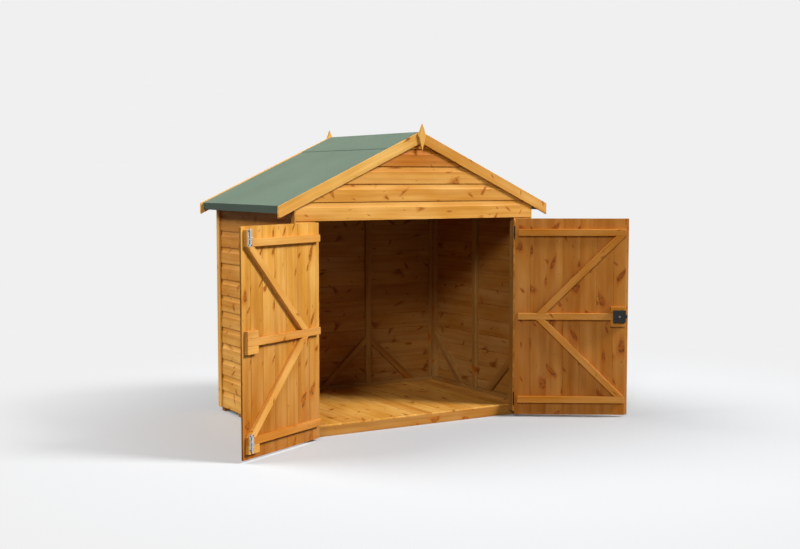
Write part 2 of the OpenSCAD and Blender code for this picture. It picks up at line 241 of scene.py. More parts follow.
# The direction of a solid's longest edge, and of the longest one across it
def longWays(piece):
    mesh = piece.data
    ways = [mesh.vertices[e.vertices[1]].co - mesh.vertices[e.vertices[0]].co for e in mesh.edges]
    ways.sort(key=lambda way: -way.length)
    along = ways[0]
    grain = along.normalized()
    across = next(way for way in ways if abs(way.normalized().dot(grain)) < joinery["askew"])
    return along, across


# Planed timbers with eased edges, each with its own grain, from a node's solids
def easedTimbers(name, node, ease=joinery["ease"], along=None, across=None, tones=()):
    solids = solidsOf(node)
    solids.sort(key=lambda piece: tuple(round(c, 4) for c in piece.bound_box[0]))   # to 0.1 mm
    for i, piece in enumerate(solids):
        ways = longWays(piece)
        easeEdges(piece, ease * mm)
        markGrain(piece, along or ways[0], across or ways[1], None, evenTone(tones, i))
    return joined(name, solids)


# Materials

def linear(text):
    parts = [int(text[i:i + 2], 16) / 255 for i in (1, 3, 5)]
    return [p / 12.92 if p <= 0.04045 else ((p + 0.055) / 1.055) ** 2.4 for p in parts] + [1]


# Adds a node, sets its settings, and fills each input with a value or a link
def addNode(tree, kind, inputs=None, **settings):
    made = tree.nodes.new("ShaderNode" + kind)
    for key, value in settings.items():
        setattr(made, key, value)
    for key, value in (inputs or {}).items():
        if isinstance(value, bpy.types.NodeSocket):
            tree.links.new(value, made.inputs[key])
        else:
            made.inputs[key].default_value = value
    return made


def newMaterial(name):
    material = bpy.data.materials.new(name)
    material.use_nodes = True
    material.node_tree.nodes.clear()
    return material, material.node_tree


# How often a size in mm, or each of several, fits into a metre
def perMetre(*sizes):
    counts = [1 / (size * mm) for size in sizes]
    return counts if len(counts) > 1 else counts[0]


# Inputs of a Map Range node: a value, the range that it comes in and the range that it goes out in
def ranged(value, low, high, outLow=0, outHigh=1):
    return {0: value, 1: low, 2: high, 3: outLow, 4: outHigh}


# Distance from the nearest knot, where 1 is about its rim: one to a cell at most, as slanting ovals
# that taper to one end, some slim and some round, with a ragged edge
def knotReach(tree, grain, knots):
    cell = [size * mm for size in knots["pitch"]]
    cells = addNode(tree, "VectorMath", {0: grain, 1: (*perMetre(*knots["pitch"]), 0)},
                    operation="MULTIPLY")
    spots = addNode(tree, "TexVoronoi", {"Vector": cells.outputs[0], "Scale": 1,
                                         "Randomness": knots["scatter"]}, voronoi_dimensions="2D")
    chance = addNode(tree, "SeparateColor", {0: spots.outputs["Color"]})
    away = addNode(tree, "VectorMath", {0: cells.outputs[0], 1: spots.outputs["Position"]},
                   operation="SUBTRACT")
    away = addNode(tree, "VectorMath", {0: away.outputs[0], 1: (*cell, 0)}, operation="MULTIPLY")
    slant = addNode(tree, "MapRange", ranged(chance.outputs[0], 0, 1, *knots["slant"]))
    away = addNode(tree, "VectorRotate", {"Vector": away.outputs[0], "Angle": slant.outputs[0]},
                   rotation_type="Z_AXIS")
    size = addNode(tree, "Math", {0: chance.outputs[1], 1: knots["fewLarge"]}, operation="POWER")
    size = addNode(tree, "MapRange", ranged(size.outputs[0], 0, 1, knots["small"], knots["large"]))
    kinds = addNode(tree, "Math", {0: chance.outputs[1], 1: knots["kinds"]}, operation="MULTIPLY")
    kinds = addNode(tree, "Math", {0: kinds.outputs[0]}, operation="FRACT")
    slim = addNode(tree, "MapRange", ranged(kinds.outputs[0], 0, 1, *knots["slim"]))
    away = addNode(tree, "VectorMath", {0: away.outputs[0], 1: (*perMetre(*knots["size"]), 0)},
                   operation="MULTIPLY")
    ends = addNode(tree, "SeparateXYZ", {0: away.outputs[0]})
    taper = addNode(tree, "Math", {0: ends.outputs["X"], 1: knots["taper"], 2: slim.outputs[0]},
                    operation="MULTIPLY_ADD")
    wide = addNode(tree, "Math", {0: ends.outputs["Y"], 1: taper.outputs[0]}, operation="MULTIPLY")
    away = addNode(tree, "CombineXYZ", {0: ends.outputs["X"], 1: wide.outputs[0]})
    reach = addNode(tree, "VectorMath", {0: away.outputs[0]}, operation="LENGTH")
    reach = addNode(tree, "Math", {0: reach.outputs["Value"], 1: size.outputs[0]}, operation="DIVIDE")
    bare = addNode(tree, "Math", {0: chance.outputs[2], 1: knots["share"]}, operation="GREATER_THAN")
    reach = addNode(tree, "Math", {0: bare.outputs[0], 1: knots["outOfReach"], 2: reach.outputs[0]},
                    operation="MULTIPLY_ADD")
    ragged = addNode(tree, "TexNoise", {"Vector": grain, "Scale": perMetre(knots["ragged"]), "Detail": 3})
    return addNode(tree, "Math", {0: ragged.outputs["Fac"], 1: knots["torn"], 2: reach.outputs[0]},
                   operation="MULTIPLY_ADD").outputs[0]


# Planed softwood dipped in a honey stain: soft growth bands along each board, fine fibre, slanting
# red-brown knots that bend the bands round them and are dark only in patches, small brown flecks, a tone
# that differs from board to board and on the doors runs from painted shade at the foot to painted light
# at the top, and a browner colour on sawn faces. The inside of the right door and the free edge of the left
# one take that colour too, as painted shade
def dippedPine(name, look):
    material, tree = newMaterial(name)
    grain = addNode(tree, "Attribute", attribute_name="grain").outputs["Vector"]
    tone = addNode(tree, "Attribute", attribute_name="tone").outputs["Fac"]
    sawnAndShade = addNode(tree, "Attribute", attribute_name="sawnAndShade").outputs["Fac"]
    place = addNode(tree, "SeparateXYZ", {0: grain})

    reach = knotReach(tree, grain, {**bigKnots, **look["knots"]})
    small = knotReach(tree, grain, flecks)
    core = addNode(tree, "MapRange", ranged(reach, *look["core"]), interpolation_type="SMOOTHSTEP")
    halo = addNode(tree, "MapRange", ranged(reach, *look["ring"]), interpolation_type="SMOOTHSTEP")
    fleck = addNode(tree, "MapRange", ranged(small, *look["dots"]), interpolation_type="SMOOTHSTEP")

    # Growth bands, wandering slowly along the board and swerving round the knots
    slow = addNode(tree, "VectorMath", {0: grain, 1: perMetre(*look["wave"])}, operation="MULTIPLY")
    wander = addNode(tree, "TexNoise", {"Vector": slow.outputs[0], "Scale": 1, "Detail": 1.5})
    swerve = addNode(tree, "Math", {0: halo.outputs[0], 1: look["swerve"], 2: wander.outputs["Fac"]},
                     operation="MULTIPLY_ADD")
    ringAt = addNode(tree, "Math", {0: swerve.outputs[0], 1: look["wander"] * mm, 2: place.outputs["Y"]},
                     operation="MULTIPLY_ADD")
    ringAt = addNode(tree, "Math", {0: place.outputs["Z"], 1: look["lean"], 2: ringAt.outputs[0]},
                     operation="MULTIPLY_ADD")
    across = addNode(tree, "Math", {0: ringAt.outputs[0], 1: perMetre(look["bandPitch"])},
                     operation="MULTIPLY")
    along = addNode(tree, "Math", {0: place.outputs["X"], 1: perMetre(look["bandRun"])},
                    operation="MULTIPLY")
    bandAt = addNode(tree, "CombineXYZ", {0: along.outputs[0], 1: across.outputs[0]})
    bands = addNode(tree, "TexNoise", {"Vector": bandAt.outputs[0], "Scale": 1, "Detail": 2.5,
                                       "Roughness": 0.5}, noise_dimensions="2D")
    fine = addNode(tree, "VectorMath", {0: grain, 1: perMetre(*look["fibre"])}, operation="MULTIPLY")
    fibre = addNode(tree, "TexNoise", {"Vector": fine.outputs[0], "Scale": 1, "Detail": 1})
    soakAndShade = addNode(tree, "VectorMath", {0: grain, 1: perMetre(*look["blotch"])}, operation="MULTIPLY")
    blotch = addNode(tree, "TexNoise", {"Vector": soakAndShade.outputs[0], "Scale": 1, "Detail": 2})

    # Colour
    ramp = addNode(tree, "ValToRGB", {0: bands.outputs["Fac"]})
    stops = ramp.color_ramp.elements
    stops[0].position, stops[1].position = look["bandStops"]
    stops[0].color, stops[1].color = linear(look["dark"]), linear(look["pale"])
    tint = addNode(tree, "Mix", {"Factor": tone, "A": (*look["ruddy"], 1), "B": (*look["creamy"], 1)},
                   data_type="RGBA")
    toned = addNode(tree, "Mix", {"Factor": 1, "A": ramp.outputs[0], "B": tint.outputs["Result"]},
                    data_type="RGBA", blend_type="MULTIPLY")
    stain, streak, hue, rich = [
        addNode(tree, "MapRange", ranged(noise.outputs["Fac"], *look["noiseSpan"], *look[key])).outputs[0]
        for key, noise in (("stain", blotch), ("streak", fibre), ("hue", blotch), ("rich", blotch))]
    value = addNode(tree, "Math", {0: stain, 1: streak}, operation="MULTIPLY")
    board = addNode(tree, "HueSaturation", {"Color": toned.outputs["Result"], "Value": value.outputs[0],
                                            "Hue": hue, "Saturation": rich})
    ring = addNode(tree, "Math", {0: halo.outputs[0], 1: look["ringShare"]}, operation="MULTIPLY")
    marked = addNode(tree, "Mix", {"Factor": fleck.outputs[0], "A": board.outputs[0],
                                   "B": linear(look["fleck"])}, data_type="RGBA")
    near = addNode(tree, "Mix", {"Factor": ring.outputs[0], "A": marked.outputs["Result"],
                                 "B": linear(look["halo"])}, data_type="RGBA")
    pith = addNode(tree, "MapRange", ranged(reach, *look["pith"]))
    knot = addNode(tree, "Mix", {"Factor": pith.outputs[0], "A": linear(look["knot"]),
                                 "B": linear(look["halo"])}, data_type="RGBA")
    worn = addNode(tree, "TexNoise", {"Vector": grain, "Scale": perMetre(look["patchy"]), "Detail": 1})
    worn = addNode(tree, "MapRange", ranged(worn.outputs["Fac"], *look["patches"]))
    rim = addNode(tree, "Math", {0: core.outputs[0], 1: worn.outputs[0]}, operation="MULTIPLY")
    planed = addNode(tree, "Mix", {"Factor": rim.outputs[0], "A": near.outputs["Result"],
                                   "B": knot.outputs["Result"]}, data_type="RGBA")
    kept = addNode(tree, "Mix", {"Factor": sawnAndShade, "A": (1, 1, 1, 1), "B": (*look["sawnAndShade"], 1)},
                   data_type="RGBA")
    colour = addNode(tree, "Mix", {"Factor": 1, "A": planed.outputs["Result"], "B": kept.outputs["Result"]},
                     data_type="RGBA", blend_type="MULTIPLY")

    height = addNode(tree, "Math", {0: fibre.outputs["Fac"], 1: look["fibreHigh"], 2: bands.outputs["Fac"]},
                     operation="MULTIPLY_ADD")
    bump = addNode(tree, "Bump", {"Height": height.outputs[0], "Strength": look["bump"],
                                  "Distance": look["relief"] * mm})
    polish = addNode(tree, "MapRange", ranged(bands.outputs["Fac"], 0, 1, *look["roughness"]))
    shader = addNode(tree, "BsdfPrincipled", {"Base Color": colour.outputs["Result"], "IOR": look["ior"],
                                              "Specular IOR Level": look["specular"],
                                              "Roughness": polish.outputs[0], "Normal": bump.outputs[0]})
    addNode(tree, "OutputMaterial", {"Surface": shader.outputs[0]})
    return material


bigKnots = {
    "pitch": (215, 98),         # mm along and across the board, a cell for each knot
    "scatter": 0.75,            # how far a knot strays from the middle of its cell
    "share": 0.7,               # share of the cells that hold one
    "outOfReach": 20,           # reach in a cell without
    "size": (44, 10),           # half length and half width, mm
    "small": 0.3,               # smallest and largest knot, as shares of that
    "large": 1.2,
    "fewLarge": 1.6,            # above 1, most are small
    "kinds": 7,                 # makes a second chance of the first, for how slim a knot is
    "slim": (0.4, 1.5),         # from the roundest to the slimmest
    "taper": 0.4,
    "slant": (-1.25, 1.25),     # radians off the grain
    "ragged": 16,               # mm between the tears of its edge
    "torn": 0.9,                # how deep they are
}
flecks = {
    **bigKnots, "pitch": (120, 42), "size": (13, 3.5), "share": 0.3, "ragged": 6, "slant": (-0.8, 0.8),
}
pineLook = {
    "knots": {},                # what differs from bigKnots
    "core": (1.5, 0.95),        # reach where a knot's dark starts, and where it is full
    "ring": (2.3, 1.2),         # the same for the ring round it
    "ringShare": 0.6,
    "pith": (1.2, 0.8, 0, 0.75),    # for its pale middle, and how pale that is
    "dots": (1.6, 0.9, 0, 0.7),     # for the flecks
    "patchy": 20,               # mm between the dark and the pale parts of a knot
    "patches": (0.36, 0.56, 0.35),  # noise that is pale and dark there, and how dark the pale is
    "bandPitch": 24,            # mm across the board
    "bandRun": 1400,            # mm along it
    "bandStops": (0.3, 0.66),   # noise that is dark and pale
    "wander": 34,               # mm that a band strays
    "wave": (660, 125, 125),    # mm along, across and through the board in which it does
    "swerve": 0.3,              # share of that by which a knot moves it
    "lean": 0.5,                # slope of the bands through the board
    "fibre": (140, 2.4, 2.4),   # mm
    "fibreHigh": 0.5,           # as a share of the bands' height
    "blotch": (380, 110, 110),  # mm, patches where the stain took more or less
    "noiseSpan": (0.3, 0.7),    # where most of a noise lies, spread over the next four ranges
    "stain": (0.87, 1.08),
    "streak": (0.96, 1.03),
    "hue": (0.494, 0.504),
    "rich": (1.03, 0.95),
    "ruddy": (0.74, 0.52, 0.22),    # share of red, green and blue light that the darkest board keeps
    "creamy": (1.08, 1.12, 1.2),    # the palest board
    "sawnAndShade": (0.51, 0.49, 0.56),     # a sawn face, and the painted shade on the left door's free edge
    "pale": "#e2a445",
    "dark": "#d29237",
    "fleck": "#9a5405",
    "halo": "#b36208",
    "knot": "#643000",
    "bump": 0.3,
    "relief": 0.6,              # mm
    "roughness": (0.7, 0.55),   # dark and pale bands
    "specular": 0.22,
    "ior": 1.5,
}
cladPine = dippedPine("dipped_pine_cladding", {
    **pineLook, "knot": "#7c4000", "knots": {"size": (38, 9), "share": 0.75}})
# The left door's ruddy end is the colour that the painted shade at its foot reaches
leftPine = dippedPine("dipped_pine_matchboard", {
    **pineLook, "pale": "#dca041", "dark": "#c98c32", "bandPitch": 44, "knot": "#461d00",
    "ruddy": (0.52, 0.33, 0.1), "knots": {"slant": (0.05, 0.7), "size": (58, 17)}})
# A shaded copy of the door pine for the right door: a little darker, and its inside face darker and redder,
# as painted shade
shadedRightPine = dippedPine("dipped_pine_shaded_matchboard", {
    **pineLook, "pale": "#d6983c", "dark": "#c4842c", "bandPitch": 52, "knot": "#3c1800",
    "ruddy": (0.64, 0.55, 0.3), "sawnAndShade": (0.96, 0.81, 0.74),
    "knots": {"slant": (-0.9, 0.9), "size": (54, 18)}})
framePine = dippedPine("dipped_pine_framing", {
    **pineLook, "pale": "#a07234", "dark": "#90642a", "knots": {"share": 0.45}})
brownPine = dippedPine("dipped_pine_brown", {
    **pineLook, "pale": "#b4792e", "dark": "#a26a24", "knots": {"size": (40, 13)}})
trimPine = dippedPine("dipped_pine_trim", {
    **pineLook, "pale": "#e8af51", "dark": "#d89e44", "knots": {"share": 0.5, "size": (24, 8)}})
leftLedgePine = dippedPine("dipped_pine_ledges", {
    **pineLook, "pale": "#db9d43", "dark": "#cc8e39", "knots": {"share": 0.5, "size": (26, 9)}})
# A shaded copy of the ledge pine for the right door: darker, as painted shade
shadedRightLedgePine = dippedPine("dipped_pine_shaded_ledges", {
    **pineLook, "pale": "#c98228", "dark": "#bf7823", "ruddy": (1, 0.98, 0.9),
    "knots": {"share": 0.55, "size": (26, 9)}})
print("pine materials made")


feltLook = {
    "grit": 5,              # mm, real grit is 1 mm, drawn coarser so that it shows
    "patch": 520,           # mm
    "patchShare": 0.35,     # how much the patches add to the grit
    "stops": (0.35, 1),     # sum of both that is dark and pale
    "dark": "#4d5d51",
    "pale": "#7c8d7a",
    "bitumen": "#1d2826",
    "bare": 0.62,           # share of the folded edge where it shows
    "bump": 0.5,
    "relief": 1,            # mm
    "roughness": 0.92,
    "specular": 0.2,
}


# Bitumen felt faced with green mineral grit: matt, speckled, greyer in patches, and near black bitumen
# where the grit cracked off along the folded edge
def mineralFelt():
    material, tree = newMaterial("green_mineral_felt")
    where = addNode(tree, "TexCoord").outputs["Object"]
    folded = addNode(tree, "Attribute", attribute_name="folded").outputs["Fac"]
    grit = addNode(tree, "TexNoise", {"Vector": where, "Scale": perMetre(feltLook["grit"]), "Detail": 3,
                                      "Roughness": 0.7})
    patch = addNode(tree, "TexNoise", {"Vector": where, "Scale": perMetre(feltLook["patch"]), "Detail": 3})
    mixed = addNode(tree, "Math", {0: patch.outputs["Fac"], 1: feltLook["patchShare"],
                                   2: grit.outputs["Fac"]}, operation="MULTIPLY_ADD")
    ramp = addNode(tree, "ValToRGB", {0: mixed.outputs[0]})
    stops = ramp.color_ramp.elements
    stops[0].position, stops[1].position = feltLook["stops"]
    stops[0].color, stops[1].color = linear(feltLook["dark"]), linear(feltLook["pale"])
    bare = addNode(tree, "Math", {0: folded, 1: feltLook["bare"]}, operation="MULTIPLY")
    colour = addNode(tree, "Mix", {"Factor": bare.outputs[0], "A": ramp.outputs[0],
                                   "B": linear(feltLook["bitumen"])}, data_type="RGBA")
    bump = addNode(tree, "Bump", {"Height": grit.outputs["Fac"], "Strength": feltLook["bump"],
                                  "Distance": feltLook["relief"] * mm})
    shader = addNode(tree, "BsdfPrincipled", {"Base Color": colour.outputs["Result"],
                                              "Roughness": feltLook["roughness"],
                                              "Specular IOR Level": feltLook["specular"],
                                              "Normal": bump.outputs[0]})
    addNode(tree, "OutputMaterial", {"Surface": shader.outputs[0]})
    return material


zincLook = {"spangle": 5, "shade": (0.85, 1.05), "uneven": 0.06}     # mm, and shares from spot to spot


# Bright zinc plate: cool grey metal with a faint crystal spangle
def brightZinc(name, base, roughness):
    material, tree = newMaterial(name)
    where = addNode(tree, "TexCoord").outputs["Object"]
    spangle = addNode(tree, "TexVoronoi", {"Vector": where, "Scale": perMetre(zincLook["spangle"])})
    level = addNode(tree, "SeparateColor", {0: spangle.outputs["Color"]})
    shade = addNode(tree, "MapRange", ranged(level.outputs[0], 0, 1, *zincLook["shade"]))
    colour = addNode(tree, "HueSaturation", {"Color": linear(base), "Value": shade.outputs[0]})
    gloss = addNode(tree, "MapRange", ranged(level.outputs[1], 0, 1, roughness - zincLook["uneven"],
                                             roughness + zincLook["uneven"]))
    shader = addNode(tree, "BsdfPrincipled", {"Base Color": colour.outputs[0], "Metallic": 1,
                                              "Roughness": gloss.outputs[0]})
    addNode(tree, "OutputMaterial", {"Surface": shader.outputs[0]})
    return material


enamelLook = {"peel": 2.5, "relief": 0.3, "bump": 0.2, "specular": 0.3}     # the first two in mm


# Black stove enamel or japan on steel: near black, fine orange-peel, dull gloss
def blackEnamel(name, dark, pale, roughness):
    material, tree = newMaterial(name)
    where = addNode(tree, "TexCoord").outputs["Object"]
    peel = addNode(tree, "TexNoise", {"Vector": where, "Scale": perMetre(enamelLook["peel"]), "Detail": 2})
    shade = addNode(tree, "ValToRGB", {0: peel.outputs["Fac"]})
    stops = shade.color_ramp.elements
    stops[0].color, stops[1].color = linear(dark), linear(pale)
    bump = addNode(tree, "Bump", {"Height": peel.outputs["Fac"], "Strength": enamelLook["bump"],
                                  "Distance": enamelLook["relief"] * mm})
    shader = addNode(tree, "BsdfPrincipled", {"Base Color": shade.outputs[0], "Roughness": roughness,
                                              "Specular IOR Level": enamelLook["specular"],
                                              "Normal": bump.outputs[0]})
    addNode(tree, "OutputMaterial", {"Surface": shader.outputs[0]})
    return material


felt = mineralFelt()
zinc = brightZinc("bright_zinc_plate", "#d3d2ce", 0.3)
nailSteel = brightZinc("wire_nail_steel", "#8a7a66", 0.5)
enamel = blackEnamel("black_stove_enamel", "#0b0c0d", "#141617", 0.45)
japan = blackEnamel("black_japanned_steel", "#22160c", "#352314", 0.6)
print("felt and metal materials made")


# Floor

floorBoards = {"cover": 112, "ease": 1.6}  # mm


def layFloor():
    low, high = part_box("floor_deck")
    cover = floorBoards["cover"] * mm
    master = addBlock("deckBoard", (0, low.y, low.z), (cover, high.y, high.z))
    easeEdges(master, floorBoards["ease"] * mm)
    boards = []
    count = math.ceil((high.x - low.x) / cover)
    for i in range(count):
        board = copyOf(master, "deckBoard")
        board.location.x = low.x + i * cover
        settle(board)
        if i == count - 1:
            cutOff(board, (high.x, 0, 0), xAxis)
        boards.append(markGrain(board, yAxis, xAxis, -zAxis))
    bury(master)
    fit(joined("deck_boards", boards), cladPine, "shed", "cladding", "floor_deck")
    fit(easedTimbers("bearers", "floor_bearers"), brownPine, "shed", "framing", "floor_bearers")


layFloor()
print("floor laid")


# Shiplap walls: each board has a scooped upper edge, and a tongue that slips behind the board above

shiplap = {
    "cover": 112,       # mm of face that shows
    "least": 2,         # no board shows less
    "scoopHigh": 36,
    "scoopDeep": 7,
    "scoopSteps": 5,
    "scoopCurve": 0.1,  # hollow below 0.5
    "front": 7.4,       # thickness in front of the tongue
    "tongue": 8,
    "ease": 1.2,
    "backEase": 5,      # lower edge of the sawn back
    "wallSeam": 152,    # top of the lowest board on the side and back walls
    "gableSeam": 1487,  # top of the board over the doorway
    "gableTones": (0.8, 0.72, 0.65, 0, 0.1),    # the boards under the peak are the darkest
    "sideTone": 0.95,   # painted light and shade: the side walls are paler at the foot and darker towards the eaves
    "sideFall": 0.055,  # from board to board
    "sideBoards": 13,
}


# One metre of shiplap along X, face towards -Y, modelled deep and then pressed to its thickness
def shiplapMaster():
    low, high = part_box("front_gable")
    thick = high.y - low.y
    press = shiplap["scoopHigh"] / shiplap["scoopDeep"]
    cover, tongue = shiplap["cover"] * mm, shiplap["tongue"] * mm
    front = shiplap["front"] * mm * press
    board = addBlock("shiplapBoard", (0, front, tongue), (1, thick * press, cover + tongue))
    scoreRound(board, (0, 0, cover), zAxis)
    pullFaces(board, lambda c, p: abs(c.y - front) < mm and c.z < cover, (0, -front, 0))
    pullFaces(board, lambda c, p: abs(c.z - tongue) < mm and c.y < front, (0, 0, -tongue))
    bevelEdges(board, lambda c, p: abs(c.y) < mm / 2 and abs(c.z - cover) < mm / 2,
               offset=shiplap["scoopHigh"] * mm, segments=shiplap["scoopSteps"],
               profile=shiplap["scoopCurve"])
    board.scale.y = 1 / press
    settle(board)
    lengthwise = lambda c: abs(c.x - 0.5) < mm
    bevelEdges(board, lambda c, p: lengthwise(c) and abs(c.z) < mm / 2 and abs(c.y) < mm / 2,
               offset=shiplap["ease"] * mm, segments=1)
    bevelEdges(board, lambda c, p: lengthwise(c) and abs(c.y - thick) < mm / 2 and c.z < 2 * tongue,
               offset=shiplap["backEase"] * mm, segments=1)
    return board


# Boards of one wall: corner is the foot of the wall at the left end as seen from outside
def shiplapWall(name, master, corner, length, turn, top, firstSeam, cuts=(), tones=()):
    boards = []
    along = Vector((math.cos(turn), math.sin(turn), 0))
    inward = Vector((-math.sin(turn), math.cos(turn), 0))
    cover = shiplap["cover"] * mm
    foot = corner[2]
    seam = firstSeam * mm
    while foot < top - shiplap["least"] * mm:
        board = copyOf(master, name)
        if len(boards) == 0:
            lowerEdge = 1.5 * shiplap["tongue"] * mm    # its points lie below this height
            movePoints(board, lambda c, p: c.z < lowerEdge, (0, 0, foot + cover - seam))
        board.scale.x = length
        board.rotation_euler.z = turn
        board.location = (corner[0], corner[1], seam - cover)
        settle(board)
        if seam + shiplap["tongue"] * mm > top:
            cutOff(board, (0, 0, top), zAxis)
        for point, normal in cuts:
            cutOff(board, point, normal)
        if len(board.data.polygons):
            tone = evenTone(tones, len(boards))
            boards.append(markGrain(board, along, zAxis, inward, tone))
        else:
            bury(board)
        foot, seam = seam, seam + cover
    return joined(name, boards)


def cladWalls():
    master = shiplapMaster()
    quarter = math.pi / 2
    wallSeam = shiplap["wallSeam"]
    # Painted light and shade on the side walls: each board up from the foot is a little darker
    sideTones = [shiplap["sideTone"] - shiplap["sideFall"] * i for i in range(shiplap["sideBoards"])]
    low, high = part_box("left_wall")
    left = shiplapWall("left_wall_boards", master, (low.x, high.y, low.z), high.y - low.y, -quarter,
                       high.z, wallSeam, (), sideTones)
    low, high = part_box("right_wall")
    right = shiplapWall("right_wall_boards", master, (high.x, low.y, low.z), high.y - low.y, quarter,
                        high.z, wallSeam, (), sideTones)
    fit(left, cladPine, "shed", "cladding", "left_wall")
    fit(right, cladPine, "shed", "cladding", "right_wall")
    eave = high.z
    low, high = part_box("back_wall")
    slope = math.atan2(high.z - eave, high.x)
    cuts = [((0, 0, high.z), (math.sin(slope) * s, 0, math.cos(slope))) for s in (-1, 1)]
    back = shiplapWall("back_wall_boards", master, (high.x, high.y, low.z), high.x - low.x, math.pi,
                       high.z, wallSeam, cuts)
    fit(back, cladPine, "shed", "cladding", "back_wall")
    low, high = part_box("front_gable")
    gable = shiplapWall("gable_boards", master, (low.x, low.y, low.z), high.x - low.x, 0, high.z,
                        shiplap["gableSeam"], cuts, shiplap["gableTones"])
    fit(gable, cladPine, "shed", "cladding", "front_gable")
    low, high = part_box("front_panels")
    outer = high.x
    panels = []
    jamb = min(abs(v.co.x) for v in frame["nodes"]["front_panels"].data.vertices)
    for start in (-outer, jamb):
        panels.append(shiplapWall("panel_boards", master, (start, low.y, low.z), outer - jamb, 0,
                                  high.z, wallSeam))
    fit(joined("panel_boards", panels), cladPine, "shed", "cladding", "front_panels")
    bury(master)


cladWalls()
print("walls clad")


# Framing, planed with eased edges

framing = ("side_wall_studs", "side_wall_rails", "side_wall_braces", "back_wall_studs", "back_wall_rail",
           "back_wall_braces", "front_posts", "header_rail", "left_rafters", "right_rafters",
           "left_purlins", "right_purlins")
for node in framing:
    fit(easedTimbers(node + "_timber", node), framePine, "shed", "framing", node)
for node in ("left_barge_boards", "right_barge_boards", "corner_strips"):
    fit(easedTimbers(node + "_planed", node), trimPine, "shed", "trim", node)
finials = easedTimbers("finials_planed", "finials", joinery["finialEase"], zAxis, xAxis)
fit(finials, trimPine, "shed", "trim", "finials")
print("framing and trim made")


# Roof boards run from front to back, with felt over them

roof = {
    "cover": 112,           # mm
    "ease": 1.5,
    "feltThick": 3,
    "ripple": 1.2,          # depth of the felt's ripple
    "rippleLong": 280,
    "lapEdge": 1.8,         # how far the edge of the ridge felt is pressed down
    "squares": (44, 50),    # of the felt's mesh, down the slope and along the ridge
    "ridgeSquares": (12, 50),
    "foldSteps": 4,
    "foldFacing": 0.8,      # cosine, faces turned this far sideways are the folded edge
}


def boardRoof(node, side):
    low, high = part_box(node)
    half = high.x if side > 0 else -low.x
    solid = [v.co for v in frame["nodes"][node].data.vertices]
    ridgeTop = high.z
    eaveTop = max(c.z for c in solid if abs(c.x) > half - mm)
    pitch = math.atan2(ridgeTop - eaveTop, half)
    thick = (ridgeTop - min(c.z for c in solid if abs(c.x) < mm)) * math.cos(pitch)
    cover = roof["cover"] * mm
    run = half / math.cos(pitch)
    master = addBlock("roofBoard", (0, low.y, -thick), (cover, high.y, 0))
    easeEdges(master, roof["ease"] * mm)
    boards = []
    count = math.ceil(run / cover)
    for i in range(-1, count + 1):
        board = copyOf(master, node)
        board.location = (side * i * cover * math.cos(pitch), 0, ridgeTop - i * cover * math.sin(pitch))
        if side < 0:
            board.location.x -= cover * math.cos(pitch)
            board.location.z -= cover * math.sin(pitch)
        board.rotation_euler.y = side * pitch
        settle(board)
        cutOff(board, (0, 0, 0), (-side, 0, 0))
        cutOff(board, (side * half, 0, 0), (side, 0, 0))
        if len(board.data.polygons):
            boards.append(markGrain(board, yAxis, xAxis, -zAxis))
        else:
            bury(board)
    bury(master)
    fit(joined(node + "_planks", boards), framePine, "shed", "framing", node)
    return pitch


# A flat sheet from the ridge down one slope
def feltSheet(name, squares, half, low, high, side, pitch):
    run = half / math.cos(pitch)
    sheet = added(name, bpy.ops.mesh.primitive_grid_add, x_subdivisions=squares[0],
                  y_subdivisions=squares[1], size=1)
    sheet.scale = (run, high.y - low.y, 1)
    settle(sheet)
    sheet.location = (side * run / 2, (low.y + high.y) / 2, 0)
    settle(sheet)
    sheet.rotation_euler.y = side * pitch
    sheet.location.z = high.z
    return settle(sheet)


# Gives a sheet its thickness downwards and applies its modifiers in turn
def thicken(sheet):
    shell = sheet.modifiers.new("thickness", "SOLIDIFY")
    shell.thickness = roof["feltThick"] * mm
    shell.offset = -1
    only(sheet)
    for name in [modifier.name for modifier in sheet.modifiers]:
        bpy.ops.object.modifier_apply(modifier=name)


def layFelt(node, side, pitch):
    low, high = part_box(node)
    half = high.x if side > 0 else -low.x
    sheet = feltSheet("felt", roof["squares"], half, low, high, side, pitch)
    pick(sheet, "EDGE", lambda c, p: abs(abs(c.x) - half) < mm)
    eave = high.z - half * math.tan(pitch)
    step = (0, 0, (low.z - eave) / roof["foldSteps"])
    for part in range(roof["foldSteps"]):
        bpy.ops.mesh.extrude_region_move(TRANSFORM_OT_translate={"value": step})
    editDone()
    edit(sheet)
    bpy.ops.mesh.normals_make_consistent(inside=False)
    editDone()
    ripple = bpy.data.textures.new("feltRipple", "CLOUDS")
    ripple.noise_scale = roof["rippleLong"] * mm
    wave = sheet.modifiers.new("ripple", "DISPLACE")
    wave.texture = ripple
    wave.texture_coords = "LOCAL"
    wave.direction = "Z"
    wave.strength = roof["ripple"] * mm
    wave.mid_level = 1
    thicken(sheet)
    folded = sheet.data.attributes.new("folded", "FLOAT", "FACE")
    sideways = [float(abs(face.normal.x) > roof["foldFacing"]) for face in sheet.data.polygons]
    folded.data.foreach_set("value", sideways)
    fit(joined(node + "_sheet", [sheet]), felt, "shed", "felt", node)


def layRidge(pitch):
    low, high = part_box("ridge_felt")
    sheet = feltSheet("ridgeFelt", roof["ridgeSquares"], high.x, low, high, 1, pitch)
    sheet.modifiers.new("other_slope", "MIRROR")
    thicken(sheet)
    edgeTop = high.z - high.x * math.tan(pitch) - roof["feltThick"] / 2 * mm
    movePoints(sheet, lambda c, p: abs(c.x) > high.x - 2 * mm and c.z > edgeTop,
               (0, 0, -roof["lapEdge"] * mm))
    fit(joined("ridge_felt_sheet", [sheet]), felt, "shed", "felt", "ridge_felt")


for node, side in (("left_roof_boards", -1), ("right_roof_boards", 1)):
    pitch = boardRoof(node, side)
    layFelt(node.replace("boards", "felt"), side, pitch)
layRidge(pitch)
print("roof boarded and felted")


# Doors, modelled shut with the hinge axis at zero and then hung at their angle

